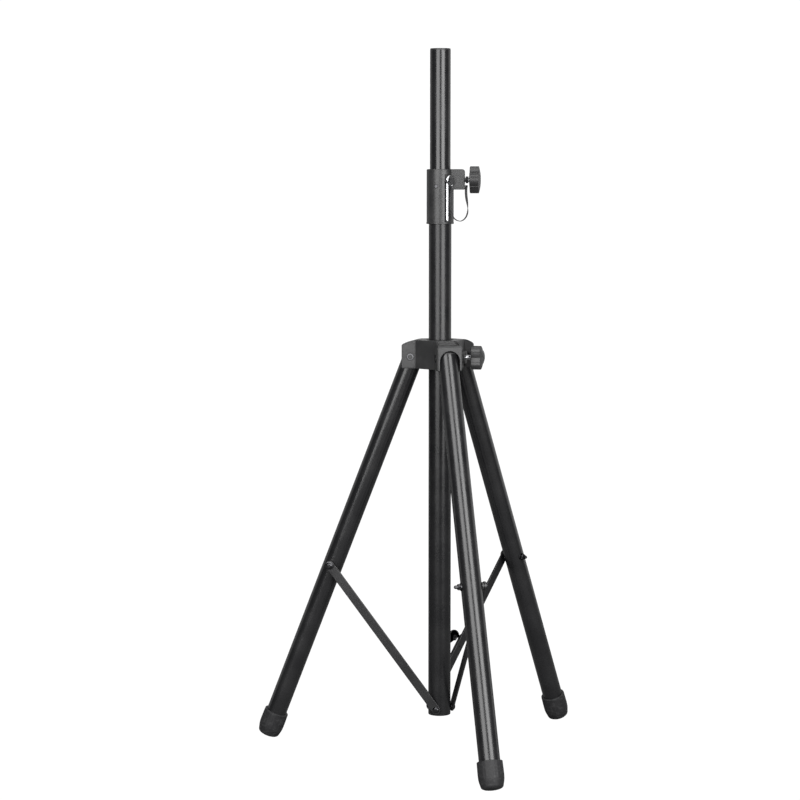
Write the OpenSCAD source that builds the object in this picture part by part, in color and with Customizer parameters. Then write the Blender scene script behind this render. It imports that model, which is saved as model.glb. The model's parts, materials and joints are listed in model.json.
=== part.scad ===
// Folding tripod stand for a loudspeaker: a telescoping mast clamped by a
// hand knob, and three tube legs that hang from a hub on the mast and are
// spread by flat braces pinned to its foot. Millimetres, +Z up, floor at z = 0.

/* [Mast] */
// Outside diameter of the fixed outer tube
tube_d = 38.5; // [38:0.1:39]
// Wall thickness of the outer tube
tube_wall = 1.5; // [1.4:0.05:1.5]
// Outside diameter of the sliding pole
pole_d = 35; // [34.8:0.05:35]
// Length of the sliding pole
pole_len = 1000; // [900:10:1010]
// Height of the pole's top above the floor
pole_top = 1199; // [1170:1:1260]
// Distance between the pole's two pin holes
pin_hole_pitch = 94; // [80:1:96]
// Length of the pole's top stretch that enters a loudspeaker
socket_depth = 140; // [120:1:145]

/* [Legs] */
// Outside diameter of a leg tube
leg_d = 35; // [34:0.1:35]
// Angle of an open leg from the vertical
leg_angle = 21.5; // [21:0.1:21.8]
// Distance from the hub pivot to the foot's end
leg_len = 722.6; // [722.3:0.1:723]
// Largest diameter of a rubber foot
foot_d = 43; // [42:0.1:43]
// Length of a rubber foot
foot_len = 43.5; // [43:0.5:45]

/* [Hub] */
// Height of the leg pivots above the floor
hub_z = 678; // [677.8:0.1:678.2]
// Distance of a leg pivot from the mast's axis
pivot_r = 46.7; // [46.5:0.1:47]
// Distance of an arm's end face from the mast's axis
arm_end = 62.5; // [62:0.1:63]
// Width of an arm without its bolt plates
arm_w = 41.5; // [41.3:0.1:42]
// Width of the slot that a leg swings in
slot_w = 35.6; // [35.5:0.05:35.8]

/* [Braces] */
// Distance along a leg from the hub pivot to the brace bolt
brace_at = 392; // [390:1:394]
// Distance between a brace's two bolts
brace_len = 309; // [308:1:310]
// Width of a brace bar
brace_w = 15.4; // [15:0.1:16]
// Thickness of a brace bar
brace_t = 3.5; // [3.4:0.05:3.6]

/* [Collar] */
// Outside diameter of the top collar
collar_d = 46; // [45.6:0.1:46.4]
// Height of the top collar
collar_h = 92.5; // [92:0.1:93]
// Height of the collar's top above the floor
collar_top = 996.5; // [996:0.1:997]

/* [Knobs] */
// Diameter of the top clamp knob
top_knob_d = 49.6; // [48:0.1:50]
// Diameter of the hub clamp knob
hub_knob_d = 43.8; // [42:0.1:44]
// Diameter of both clamp screws
screw_d = 7.9; // [7.8:0.05:7.95]

/* [Locking pin] */
// Diameter of the locking pin's wire
pin_d = 4; // [3.6:0.1:4]
// Width of the lanyard strap
strap_w = 4.4; // [4:0.1:4.6]
// Thickness of the lanyard strap
strap_t = 1.2; // [1:0.1:1.3]

/* [Hidden] */
$fn = 96;

// The mast's axis stands a little behind the middle of the footprint.
col_y = 77;
front_az = 270;
right_az = 30;
left_az = 150;
boss_az = 341;
hub_knob_az = 330;
pin_az = 285;
collar_screw_az = 236;

tube_r = tube_d / 2;
tube_ri = tube_r - tube_wall;
pole_r = pole_d / 2;
leg_r = leg_d / 2;
leg_ri = leg_r - 1.5;
brace_out = pivot_r + brace_at * sin(leg_angle);
brace_top_z = hub_z - brace_at * cos(leg_angle);
brace_angle = asin(brace_out / brace_len);
anchor_z = brace_top_z - brace_len * cos(brace_angle);
tube_bottom = anchor_z - 9.9;
collar_z = collar_top - collar_h;
tube_top = collar_top - 12.5;
pole_bottom = pole_top - pole_len;
clamp_z = collar_top - 18;
upper_hole_z = pole_top - 61;
lower_hole_z = upper_hole_z - pin_hole_pitch;
collar_r = collar_d / 2;
screw_r = screw_d / 2;
pin_r = pin_d / 2;
pin_at = 23.4;

// Depth along a leg's side at which the brace bar runs
brace_in = 20.75;
brace_hole_fit = 3.05;
// The two braces at the opened pivots have wide holes under their bolt heads
brace_hole_open = 6.2;
bolt_r = 3;

hub_low = hub_z - 19.5;
hub_web = 36.8;
bush_ri = 21.3;
bush_ro = 23;

black = [0.05, 0.05, 0.055];
moulded = [0.07, 0.07, 0.075];
soft_black = [0.03, 0.03, 0.03];
bright = [0.75, 0.76, 0.78];
brassy = [0.72, 0.58, 0.3];

// Places its children on the mast's axis.
module on_mast(z = 0) {
    translate([0, col_y, z]) children();
}

// Places its children at the mast, with +X pointing out at an azimuth.
module facing(az, z = 0) {
    translate([0, col_y, z]) rotate([0, 0, az]) children();
}

// Places its children in a leg's own frame: the hub pivot at the origin,
// +Z up along the leg, +Y along the pivot bolt.
module in_leg(az) {
    facing(az, hub_z) translate([pivot_r, 0, 0]) rotate([0, -leg_angle, 0]) children();
}

// Places its children in a brace's own frame: the lower bolt at the origin,
// +Z along the bar to the upper bolt, +Y outward across the bar.
module in_brace(az) {
    facing(az, anchor_z) rotate([0, brace_angle, 0]) children();
}

// A cylinder along +Y that starts at y.
module rod_y(r, y, h) {
    translate([0, y, 0]) rotate([-90, 0, 0]) cylinder(r = r, h = h);
}

// A cylinder along +X that starts at x.
module rod_x(r, x, h) {
    translate([x, 0, 0]) rotate([0, 90, 0]) cylinder(r = r, h = h);
}

// A hollow cylinder along +Z.
module pipe(ro, ri, h) {
    difference() {
        cylinder(r = ro, h = h);
        translate([0, 0, -1]) cylinder(r = ri, h = h + 2);
    }
}

// ---- Mast ----

module outer_tube() {
    color(black) difference() {
        on_mast(tube_bottom) pipe(tube_r, tube_ri, tube_top - tube_bottom);
        facing(boss_az, clamp_z) rod_x(5, 10, 20);
        for (az = [front_az, right_az, left_az])
            facing(az + 90, anchor_z) rod_x(bolt_r, 10, 20);
        facing(collar_screw_az, collar_z + 63.6) rod_x(1.6, 10, 20);
    }
}

module column_end_cap() {
    color(moulded) difference() {
        union() {
            on_mast(tube_bottom) cylinder(r = tube_ri, h = 26);
            on_mast(tube_bottom - 1.7) rotate_extrude()
                polygon([[0, 0], [tube_r - 1.6, 0], [tube_r - 0.5, 0.4], [tube_r, 1.7], [0, 1.7]]);
        }
        for (az = [front_az, right_az, left_az])
            facing(az + 90, anchor_z) rod_x(2.5, 6, 20);
    }
}

// Three screws that the braces turn on, one to each leg's side of the mast.
module brace_anchor_screws() {
    color(bright) for (az = [front_az, right_az, left_az])
        facing(az + 90, anchor_z) {
            rod_x(2.5, 6.5, tube_ri - 6.5);
            rod_x(2.95, tube_ri, brace_in + brace_t + 0.2 - tube_ri);
            translate([brace_in + brace_t + 0.2, 0, 0]) rotate([0, 90, 0]) rotate_extrude()
                polygon([[0, 0], [5.6, 0], [5.6, 1.2], [4.9, 2.4], [3.4, 3.3], [0, 3.6]]);
        }
}

module brace_anchor_washers() {
    color(bright) for (az = [front_az, right_az, left_az])
        facing(az + 90, anchor_z) difference() {
            rod_x(6.2, tube_r, 1.2);
            rod_x(3, tube_r - 1, 4);
        }
}

// ---- Collar ----

module boss_shape() {
    rotate([90, 0, 0]) translate([0, 0, -12]) linear_extrude(24) {
        translate([14, 0]) square([27.7, 29.5]);
        translate([14, 0]) square([22.7, 34.5]);
        translate([36.7, 29.5]) circle(r = 5);
    }
}

module top_collar() {
    color(moulded) difference() {
        union() {
            on_mast(collar_z) rotate_extrude()
                polygon([[0, 0], [collar_r + 0.4, 0], [collar_r + 0.4, 2.6], [collar_r, 3.2],
                    [collar_r, collar_h - 1.2], [collar_r - 1.2, collar_h], [0, collar_h]]);
            facing(boss_az, collar_top - 34.5) boss_shape();
        }
        on_mast(collar_z - 1) cylinder(r = tube_r, h = tube_top - collar_z + 1);
        on_mast(tube_top - 0.01) cylinder(r = 19.6, h = 7.81);
        on_mast(tube_top) cylinder(r = pole_r + 0.8, h = 20);
        facing(boss_az, clamp_z) rod_x(5, 15, 14.5);
        facing(boss_az, clamp_z) rod_x(6.5, 29.4, 8);
        facing(boss_az, clamp_z) rod_x(4.3, 30, 20);
        facing(pin_az, collar_z + 3.2) translate([20.6, -4.8, 0]) cube([6, 9.6, 80]);
        facing(collar_screw_az, collar_z + 63.6) rod_x(3.5, 21.6, 5);
        facing(collar_screw_az, collar_z + 63.6) rod_x(1.6, 15, 10);
    }
}

module collar_bush() {
    color(soft_black) on_mast(tube_top) pipe(19.6, pole_r + 0.1, 7.8);
}

// Threaded insert that the top clamp screw runs in.
module collar_nut() {
    color(brassy) facing(boss_az, clamp_z) difference() {
        rod_x(6.5, 29.4, 8);
        rod_x(screw_r + 0.06, 20, 30);
    }
}

module collar_screw() {
    color(soft_black) facing(collar_screw_az, collar_z + 63.6) {
        rod_x(1.6, tube_ri + 0.2, 21.6 - tube_ri - 0.2);
        rod_x(3.2, 21.6, 1);
    }
}

// ---- Sliding pole ----

module inner_pole() {
    color(black) difference() {
        on_mast(pole_bottom) pipe(pole_r, pole_r - 1.5, pole_len - 3);
        on_mast(pole_top - socket_depth - 1) pipe(pole_r + 2, pole_r - 0.25, 1);
        for (z = [upper_hole_z, lower_hole_z])
            facing(boss_az - 2, z) rod_x(4, -25, 50);
    }
}

module pole_guide() {
    color(soft_black) on_mast(pole_bottom - 12) {
        difference() {
            union() {
                cylinder(r = tube_ri - 0.08, h = 12);
                translate([0, 0, 12]) cylinder(r = pole_r - 1.5, h = 14);
            }
            translate([0, 0, -1]) cylinder(r = 12, h = 40);
        }
    }
}

module pole_top_plug() {
    color(moulded) on_mast(pole_top) {
        translate([0, 0, -3]) rotate_extrude()
            polygon([[0, 0], [pole_r - 0.2, 0], [pole_r - 0.2, 1.6], [pole_r - 0.6, 2.6], [pole_r - 1.6, 3], [0, 3]]);
        translate([0, 0, -19]) pipe(pole_r - 1.5, pole_r - 4, 16);
    }
}

// ---- Hand knobs ----

// A three-lobed knob along +X from x = 0, with a domed end.
module knob_shape(r, t, turn) {
    difference() {
        intersection() {
            rotate([0, 90, 0]) linear_extrude(t) rotate([0, 0, turn]) {
                circle(r = r * 0.62);
                for (a = [0, 120, 240])
                    rotate([0, 0, a]) translate([r * 0.58, 0]) circle(r = r * 0.42);
            }
            rotate([0, 90, 0]) rotate_extrude()
                polygon([[0, 0], [r - 0.8, 0], [r, 0.8], [r, t - 3.6], [r * 0.97, t - 3.1],
                    [r * 0.75, t - 1.8], [r * 0.5, t - 0.8], [r * 0.25, t - 0.2], [0, t]]);
        }
        rod_x(screw_r, -1, 11);
    }
}

module pole_pad() {
    color(soft_black) facing(boss_az, clamp_z) rod_x(4.8, pole_r + 0.4, 5.1);
}

module pole_knob() {
    color(soft_black) facing(boss_az, clamp_z) translate([49.9, 0, 0])
        knob_shape(top_knob_d / 2, 19, 270);
}

module pole_knob_screw() {
    color(bright) facing(boss_az, clamp_z) rod_x(screw_r, pole_r + 5.5, 59.4 - pole_r - 5.5);
}

module hub_pad() {
    color(soft_black) facing(hub_knob_az, hub_z) rod_x(4.8, tube_r + 1.1, 5);
}

module hub_knob() {
    color(soft_black) facing(hub_knob_az, hub_z) translate([57, 0, 0])
        knob_shape(hub_knob_d / 2, 20, 90);
}

module hub_knob_screw() {
    color(bright) facing(hub_knob_az, hub_z) rod_x(screw_r, tube_r + 6.1, 67 - tube_r - 6.1);
}

// ---- Locking pin and its lanyard ----

// The pin lies in the collar's groove. Its hook turns aside and hangs down
// beside the shank.
hook_turn = -15 - pin_az;
hook_w = 3.6;
hook_z = collar_top - 16.5;
pin_low = collar_z + 4.2;

module lock_pin() {
    color(bright) facing(pin_az) translate([pin_at, 0, 0]) {
        translate([0, 0, pin_low + 2]) cylinder(r = pin_r, h = hook_z - pin_low - 2);
        translate([0, 0, pin_low]) cylinder(r1 = pin_r - 0.8, r2 = pin_r, h = 2);
        rotate([0, 0, hook_turn]) translate([hook_w, 0, hook_z])
            rotate([90, 0, 0]) rotate_extrude(angle = 180) translate([hook_w, 0]) circle(r = pin_r);
        rotate([0, 0, hook_turn]) translate([2 * hook_w, 0, hook_z - 11])
            cylinder(r = pin_r, h = 11);
    }
}

// Centre line of the strap, in the mast's frame turned by 15 degrees, with
// the mast's axis at x = y = 0.
strap_route = [
    [20, -21, 965], [18.4, -21.6, 957], [17.4, -21.8, 948], [17.2, -21.8, 939],
    [17.8, -21.6, 930], [19.6, -21, 921], [22.8, -20, 914.4], [28, -18, 910.4],
    [34.4, -15.4, 909], [40, -13.2, 911.8], [44, -11.6, 916.8], [46.2, -10.6, 923.4],
    [46.6, -10, 931], [45.6, -9.6, 940], [44.2, -9.4, 949], [43.6, -9.2, 957],
    [43.8, -8.4, 964], [44.6, -6.4, 969.2]
];
// The strap bends about its thin side, and turns to face the front near the
// screw: degrees of turn at a fraction f of its length.
function strap_turn(f) = f < 0.6 ? 0 : 70 * (f - 0.6) / 0.4;

// A point at u along the route, smoothly through its points.
function route_at(p, u) =
    let(n = len(p) - 1, i = min(n - 1, floor(u)), t = u - i,
        a = p[max(0, i - 1)], b = p[i], c = p[i + 1], d = p[min(n, i + 2)])
    0.5 * (2 * b + (c - a) * t + (2 * a - 5 * b + 4 * c - d) * t * t
        + (3 * b - a - 3 * c + d) * t * t * t);
function unit(v) = v / norm(v);
function route_dir(p, u) =
    unit(route_at(p, min(len(p) - 1, u + 0.05)) - route_at(p, max(0, u - 0.05)));

// A flat strap swept along a route, eight-sided.
module strap(p, rings, w, t) {
    us = [for (i = [0:rings]) i * (len(p) - 1) / rings];
    flat = [[-0.5, -0.2], [-0.4, -0.5], [0.4, -0.5], [0.5, -0.2],
        [0.5, 0.2], [0.4, 0.5], [-0.4, 0.5], [-0.5, 0.2]];
    pts = [for (u = us)
        let(o = route_at(p, u), d = route_dir(p, u), a = strap_turn(u / (len(p) - 1)),
            n = unit(cross(d, [-0.43, 0.9, 0])), m = cross(d, n),
            wide = m * cos(a) + n * sin(a), thin = cross(d, wide))
        for (q = flat) o + wide * q[0] * w + thin * q[1] * t];
    walls = [for (i = [0:rings - 1], j = [0:7])
        [i * 8 + j, i * 8 + (j + 1) % 8, (i + 1) * 8 + (j + 1) % 8, (i + 1) * 8 + j]];
    ends = [[for (j = [7:-1:0]) j], [for (j = [0:7]) rings * 8 + j]];
    polyhedron(points = pts, faces = concat(walls, ends), convexity = 4);
}

module pin_lanyard() {
    color(soft_black) on_mast() rotate([0, 0, -15]) strap(strap_route, 48, strap_w, strap_t);
}

// Loop of the strap round the top clamp screw.
module lanyard_eye_knob() {
    color(soft_black) facing(boss_az, clamp_z) translate([43.4, 0, 0]) rotate([0, 90, 0])
        pipe(5.8, 4.7, 4.4);
}

// Loop of the strap round the pin's hook.
module lanyard_eye_pin() {
    color(soft_black) facing(pin_az) translate([pin_at, 0, 0]) rotate([0, 0, hook_turn])
        translate([2 * hook_w, 0, hook_z - 9]) pipe(3.3, pin_r, 4.4);
}

// ---- Hub ----

// Top line of an arm: distance out from the mast's axis, height above hub_low.
arm_top = [[36, 49.14], [42, 48.3], [46, 47.3], [52, 45.3], [57, 43.2], [60, 41.6],
    [61.8, 39.9], [62.7, 38.6]];

// Three blocks for the legs, joined at their inner corners by flat webs.
module hub_outline() {
    x0 = 2 * hub_web - arm_w / 2 / tan(30);
    corners = [[x0, -arm_w / 2], [arm_end, -arm_w / 2], [arm_end, arm_w / 2], [x0, arm_w / 2]];
    polygon([for (az = [30, 150, 270], p = corners)
        [p[0] * cos(az) - p[1] * sin(az), p[0] * sin(az) + p[1] * cos(az)]]);
}

// Cross-section of the slot that a leg swings in: its top corners have
// radius r, and its top is at height h.
module slot_outline(r, h) {
    c = slot_w / 2 - r;
    polygon(concat([[-slot_w / 2, 0], [slot_w / 2, 0]],
        [for (a = [0:7.5:90]) [c + r * cos(a), h - r + r * sin(a)]],
        [for (a = [90:7.5:180]) [-c + r * cos(a), h - r + r * sin(a)]]));
}

module hub_body() {
    plate_x = 38.4;
    color(moulded) difference() {
        union() {
            difference() {
                on_mast(hub_low) linear_extrude(48.9) hub_outline();
                for (az = [front_az, right_az, left_az])
                    facing(az, hub_low) rotate([90, 0, 0]) translate([0, 0, -30]) linear_extrude(60)
                        polygon(concat(arm_top, [[66, 36], [66, 60], [36, 60]]));
            }
            // raised plates round the pivot bolts
            for (az = [front_az, right_az, left_az], s = [-1, 1])
                facing(az, hub_z) rotate([90, 0, 0]) translate([0, 0, s > 0 ? arm_w / 2 - 1 : -arm_w / 2 - 0.8])
                    linear_extrude(1.8)
                        polygon([[plate_x, -18.2], [61.9, -18.2], [61.9, 19.6], [59, 21.2], [plate_x, 24.4]]);
            // boss of the clamp screw
            facing(hub_knob_az, hub_z) rod_x(11, 30, 16);
        }
        on_mast(hub_low - 1) cylinder(r = bush_ro, h = 80);
        // slots that the legs swing in, with a half-round arch in the end plate
        for (az = [front_az, right_az, left_az])
            facing(az, hub_low - 1) rotate([90, 0, 90]) {
                translate([0, 0, 27.9]) linear_extrude(31.1) slot_outline(8, 34.5);
                translate([0, 0, 58.8]) linear_extrude(20) slot_outline(slot_w / 2 - 0.2, 34.5);
            }
        // steps in the top of each arm
        for (az = [front_az, right_az, left_az])
            facing(az, hub_z) rotate([90, 0, 0]) translate([0, 0, -17]) linear_extrude(34)
                polygon([[41, 50], [41, 26.6], [47, 26.6], [47, 23.6], [53, 23.6], [53, 20.6],
                    [59.4, 20.6], [59.4, 50]]);
        for (az = [front_az, right_az, left_az])
            facing(az, hub_z) translate([pivot_r, 0, 0]) {
                rod_y(4, -30, 60);
                rod_y(7, 19.9, 10);
                rod_y(7, -29.9, 10);
            }
        facing(hub_knob_az, hub_z) rod_x(5.2, 15, 14);
        facing(hub_knob_az, hub_z) rod_x(6.5, 28.9, 7);
        facing(hub_knob_az, hub_z) rod_x(4.4, 30, 30);
    }
}

// Split sleeve that the hub rides on along the mast.
module hub_bush() {
    color(soft_black) difference() {
        on_mast(hub_low + 1) pipe(bush_ro, bush_ri, 47.2);
        facing(hub_knob_az, hub_z) rod_x(5.2, 15, 14);
    }
}

// Threaded insert that the hub clamp screw runs in.
module hub_nut() {
    color(brassy) facing(hub_knob_az, hub_z) difference() {
        rod_x(6.5, 28.9, 7);
        rod_x(screw_r + 0.06, 20, 30);
    }
}

module leg_pivot_bolts() {
    color(bright) for (az = [front_az, right_az, left_az])
        facing(az, hub_z) translate([pivot_r, 0, 0]) {
            rod_y(4, -19.9, 39.8);
            translate([0, 19.9, 0]) rotate([-90, 0, 0]) rotate_extrude()
                polygon([[0, 0], [6.2, 0], [6.2, 0.7], [5.2, 1.4], [0, 1.6]]);
        }
}

module leg_pivot_nuts() {
    color(bright) for (az = [front_az, right_az, left_az])
        facing(az, hub_z) translate([pivot_r, -19.9, 0]) rotate([90, 0, 0]) rotate_extrude()
            polygon([[0, 0], [6.2, 0], [6.2, 0.7], [5.2, 1.4], [0, 1.6]]);
}

// ---- Legs ----

module leg_tube(az) {
    color(black) in_leg(az) difference() {
        translate([0, 0, 3.5 - leg_len]) pipe(leg_r, leg_ri, leg_len - 0.5);
        rod_y(4.08, -30, 60);
        translate([0, 0, -brace_at]) rod_y(bolt_r, -30, 60);
    }
}

module leg_plug(az) {
    color(moulded) in_leg(az) difference() {
        union() {
            translate([0, 0, 3]) rotate_extrude()
                polygon([[0, 0], [leg_r, 0], [leg_r, 1.6], [leg_r - 0.9, 2.8], [0, 3]]);
            translate([0, 0, -22]) cylinder(r = leg_ri, h = 25);
        }
        rod_y(4.08, -30, 60);
    }
}

module foot(az) {
    foot_r = foot_d / 2;
    color(soft_black) intersection() {
        in_leg(az) translate([0, 0, -leg_len]) difference() {
            rotate_extrude()
                polygon([[0, -3.3], [7, -3], [12, -2.1], [16, -0.5], [17.8, 1], [18.6, 2.8],
                    [20.4, 10], [21.2, 14.5], [foot_r, 20], [foot_r, 27], [foot_r - 0.4, foot_len - 0.8],
                    [foot_r - 1.2, foot_len], [0, foot_len]]);
            translate([0, 0, 3.5]) cylinder(r = leg_r, h = foot_len);
        }
        facing(az) translate([0, -60, 0]) cube([500, 120, 200]);
    }
}

module leg_tube_front() leg_tube(front_az);
module leg_tube_right() leg_tube(right_az);
module leg_tube_left() leg_tube(left_az);
module leg_plug_front() leg_plug(front_az);
module leg_plug_right() leg_plug(right_az);
module leg_plug_left() leg_plug(left_az);
module foot_front() foot(front_az);
module foot_right() foot(right_az);
module foot_left() foot(left_az);

// ---- Braces ----

// A flat bar with round ends, and a hole for the bolt at each end.
module brace(az, hole) {
    color(black) in_brace(az) translate([0, brace_in, 0]) difference() {
        rotate([-90, 0, 0]) linear_extrude(brace_t) {
            circle(r = brace_w / 2);
            translate([-brace_w / 2, -brace_len]) square([brace_w, brace_len]);
            translate([0, -brace_len]) circle(r = brace_w / 2);
        }
        rod_y(bolt_r, -1, 8);
        translate([0, 0, brace_len]) rod_y(hole, -1, 8);
        if (az == right_az)
            translate([-1, 0, 118]) rod_y(1.5, -1, 8);
    }
}

// gap is the room between the bar and what clamps it, on each side.
module brace_bolt(az, gap) {
    color(bright) in_leg(az) translate([0, 0, -brace_at]) {
        rod_y(bolt_r, -27.6, 27.6 + brace_in + brace_t + gap);
        translate([0, -29.6, 0]) rotate([-90, 0, 0]) cylinder(r1 = 1.8, r2 = bolt_r, h = 2);
        translate([0, brace_in + brace_t + gap, 0]) rotate([-90, 0, 0]) rotate_extrude()
            polygon([[0, 0], [7.2, 0], [7.2, 0.8], [5.6, 1], [5.2, 2.2], [3.6, 3.2], [0, 3.6]]);
    }
}

module brace_nut(az) {
    color(bright) in_leg(az) translate([0, 0, -brace_at]) difference() {
        union() {
            rod_y(6.4, -leg_r - 1.4, 1.4);
            translate([0, -leg_r - 6.4, 0]) rotate([-90, 0, 0]) cylinder(r = 5.6, h = 5.2, $fn = 6);
        }
        rod_y(bolt_r, -40, 60);
    }
}

// Moulded saddle between the leg's side and the brace.
module brace_spacer(az, gap) {
    color(moulded) in_leg(az) translate([0, 0, -brace_at]) difference() {
        rod_y(6.6, leg_r, brace_in - leg_r - gap);
        rod_y(bolt_r, -1, 40);
    }
}

module brace_front() brace(front_az, brace_hole_fit);
module brace_right() brace(right_az, brace_hole_open);
module brace_left() brace(left_az, brace_hole_open);
module brace_bolt_front() brace_bolt(front_az, 0.15);
module brace_bolt_right() brace_bolt(right_az, 1.7);
module brace_bolt_left() brace_bolt(left_az, 1.7);
module brace_nut_front() brace_nut(front_az);
module brace_nut_right() brace_nut(right_az);
module brace_nut_left() brace_nut(left_az);
module brace_spacer_front() brace_spacer(front_az, 0.15);
module brace_spacer_right() brace_spacer(right_az, 1.7);
module brace_spacer_left() brace_spacer(left_az, 1.7);

// Small ear riveted behind the right brace.
module brace_stay_plate() {
    color(black) in_brace(right_az) translate([0, brace_in + brace_t, 0]) difference() {
        rotate([-90, 0, 0]) linear_extrude(3) {
            translate([-19, -125]) circle(r = 13.5);
            translate([-19, -135]) square([19, 20]);
            translate([-6, -140]) square([10, 50]);
        }
        translate([-19, 0, 125]) rod_y(3, -1, 8);
        translate([-1, 0, 118]) rod_y(1.5, -1, 8);
    }
}

module brace_stay_bolt() {
    color(bright) in_brace(right_az) translate([0, brace_in + brace_t, 0]) {
        translate([-19, 0, 125]) rod_y(3, -0.2, 7);
        translate([-19, 0, 125]) rod_y(5.2, -2.8, 2.6);
        translate([-19, 0, 125]) rod_y(5.2, 3, 3.2);
        translate([-1, 0, 118]) rod_y(1.5, -brace_t, brace_t + 3);
        translate([-1, 0, 118]) rod_y(3, 3, 1);
    }
}

outer_tube();
column_end_cap();
brace_anchor_screws();
brace_anchor_washers();
top_collar();
collar_bush();
collar_nut();
collar_screw();
inner_pole();
pole_guide();
pole_top_plug();
pole_pad();
pole_knob();
pole_knob_screw();
lock_pin();
pin_lanyard();
lanyard_eye_knob();
lanyard_eye_pin();
hub_body();
hub_bush();
hub_nut();
leg_pivot_bolts();
leg_pivot_nuts();
hub_pad();
hub_knob();
hub_knob_screw();
leg_tube_front();
leg_plug_front();
foot_front();
leg_tube_right();
leg_plug_right();
foot_right();
leg_tube_left();
leg_plug_left();
foot_left();
brace_front();
brace_right();
brace_left();
brace_bolt_front();
brace_bolt_right();
brace_bolt_left();
brace_nut_front();
brace_nut_right();
brace_nut_left();
brace_spacer_front();
brace_spacer_right();
brace_spacer_left();
brace_stay_plate();
brace_stay_bolt();
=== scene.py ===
import json
import math

import bmesh
import bpy
from mathutils import Matrix, Vector


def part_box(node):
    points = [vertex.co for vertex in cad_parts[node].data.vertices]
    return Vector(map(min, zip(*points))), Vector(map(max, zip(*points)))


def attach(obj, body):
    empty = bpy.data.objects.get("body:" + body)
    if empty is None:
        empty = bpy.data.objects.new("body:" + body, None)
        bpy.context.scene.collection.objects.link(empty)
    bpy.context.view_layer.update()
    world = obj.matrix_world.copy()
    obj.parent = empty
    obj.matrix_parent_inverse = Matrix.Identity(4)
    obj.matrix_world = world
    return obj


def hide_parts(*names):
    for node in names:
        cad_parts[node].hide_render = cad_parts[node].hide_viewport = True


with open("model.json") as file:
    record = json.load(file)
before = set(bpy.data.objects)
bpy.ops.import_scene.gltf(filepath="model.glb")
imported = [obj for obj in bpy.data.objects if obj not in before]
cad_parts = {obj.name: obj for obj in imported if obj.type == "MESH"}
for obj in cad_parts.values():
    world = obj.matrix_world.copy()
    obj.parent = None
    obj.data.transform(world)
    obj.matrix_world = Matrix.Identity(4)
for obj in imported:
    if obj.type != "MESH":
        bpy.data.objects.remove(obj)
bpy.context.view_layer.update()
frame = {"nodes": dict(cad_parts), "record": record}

joints = {j["name"]: j for j in frame["record"]["behaviour"]["joints"]}

# ---------------------------------------------------------------- places
# Everything below is built in millimetres in a local frame, and a matrix
# takes it to metres in the row frame.
MM = Matrix.Scale(0.001, 4)
lo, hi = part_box("inner_pole")
AX, AY = (lo[0] + hi[0]) / 2 * 1000, (lo[1] + hi[1]) / 2 * 1000
POLE_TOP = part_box("pole_top_plug")[1][2] * 1000
POLE_LOW = lo[2] * 1000
TUBE_LOW, TUBE_TOP = (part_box("outer_tube")[i][2] * 1000 for i in (0, 1))
CAP_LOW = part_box("column_end_cap")[0][2] * 1000
COLLAR_LOW, COLLAR_TOP = (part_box("top_collar")[i][2] * 1000 for i in (0, 1))
HUB_Z = joints["hub_level"]["pos_m"][2] * 1000
PIVOT_R = AY - joints["hub_level"]["pos_m"][1] * 1000
BOLT_OUT = AY - joints["front_leg_turn"]["pos_m"][1] * 1000
BOLT_Z = joints["front_leg_turn"]["pos_m"][2] * 1000
ANCHOR_Z = joints["legs_fold"]["pos_m"][2] * 1000
LEG_ANGLE = math.atan2(BOLT_OUT - PIVOT_R, HUB_Z - BOLT_Z)
BRACE_AT = math.hypot(BOLT_OUT - PIVOT_R, HUB_Z - BOLT_Z)
BRACE_ANGLE = math.atan2(BOLT_OUT, BOLT_Z - ANCHOR_Z)
BRACE_LEN = math.hypot(BOLT_OUT, BOLT_Z - ANCHOR_Z)
CLAMP_Z = joints["top_knob_turn"]["pos_m"][2] * 1000
AZ = {"front": 270.0, "right": 30.0, "left": 150.0}
BOSS_AZ = math.degrees(math.atan2(joints["top_clamp"]["axis"][1], joints["top_clamp"]["axis"][0]))
KNOB_AZ = math.degrees(math.atan2(joints["hub_clamp"]["axis"][1], joints["hub_clamp"]["axis"][0]))
PIN_AZ = math.degrees(math.atan2(joints["lock_pin_pull"]["axis"][1], joints["lock_pin_pull"]["axis"][0]))
TUBE_R, POLE_R, LEG_R, WALL = 19.25, 17.5, 17.5, 1.5
LEG_LEN = 722.6
VIEW_TURN = 14.94  # the camera stands this many degrees to the left of the front leg
BAR_IN, BAR_OUT = 20.75, 24.25  # the flat braces' two faces, from their leg's middle plane


def on_mast(z=0.0):
    return MM @ Matrix.Translation((AX, AY, z))


def facing(az, z=0.0):
    """+X points out from the mast at an azimuth."""
    return on_mast(z) @ Matrix.Rotation(math.radians(az), 4, "Z")


def in_leg(az):
    """A leg's frame: the hub pivot at the origin, +Z up along the leg."""
    return facing(az, HUB_Z) @ Matrix.Translation((PIVOT_R, 0, 0)) @ Matrix.Rotation(-LEG_ANGLE, 4, "Y")


def in_brace(az):
    """A brace's frame: the lower bolt at the origin, +Z along the bar."""
    return facing(az, ANCHOR_Z) @ Matrix.Rotation(BRACE_ANGLE, 4, "Y")


TO_X = Matrix.Rotation(math.radians(90), 4, "Y")  # local +Z becomes +X
TO_Y = Matrix.Rotation(math.radians(-90), 4, "X")  # local +Z becomes +Y
TO_MY = Matrix.Rotation(math.radians(90), 4, "X")  # local +Z becomes -Y
FLAT = Matrix(((1, 0, 0, 0), (0, 0, 1, 0), (0, 1, 0, 0), (0, 0, 0, 1)))  # local +Y and +Z change places


def shift(x, y, z):
    return Matrix.Translation((x, y, z))


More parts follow.
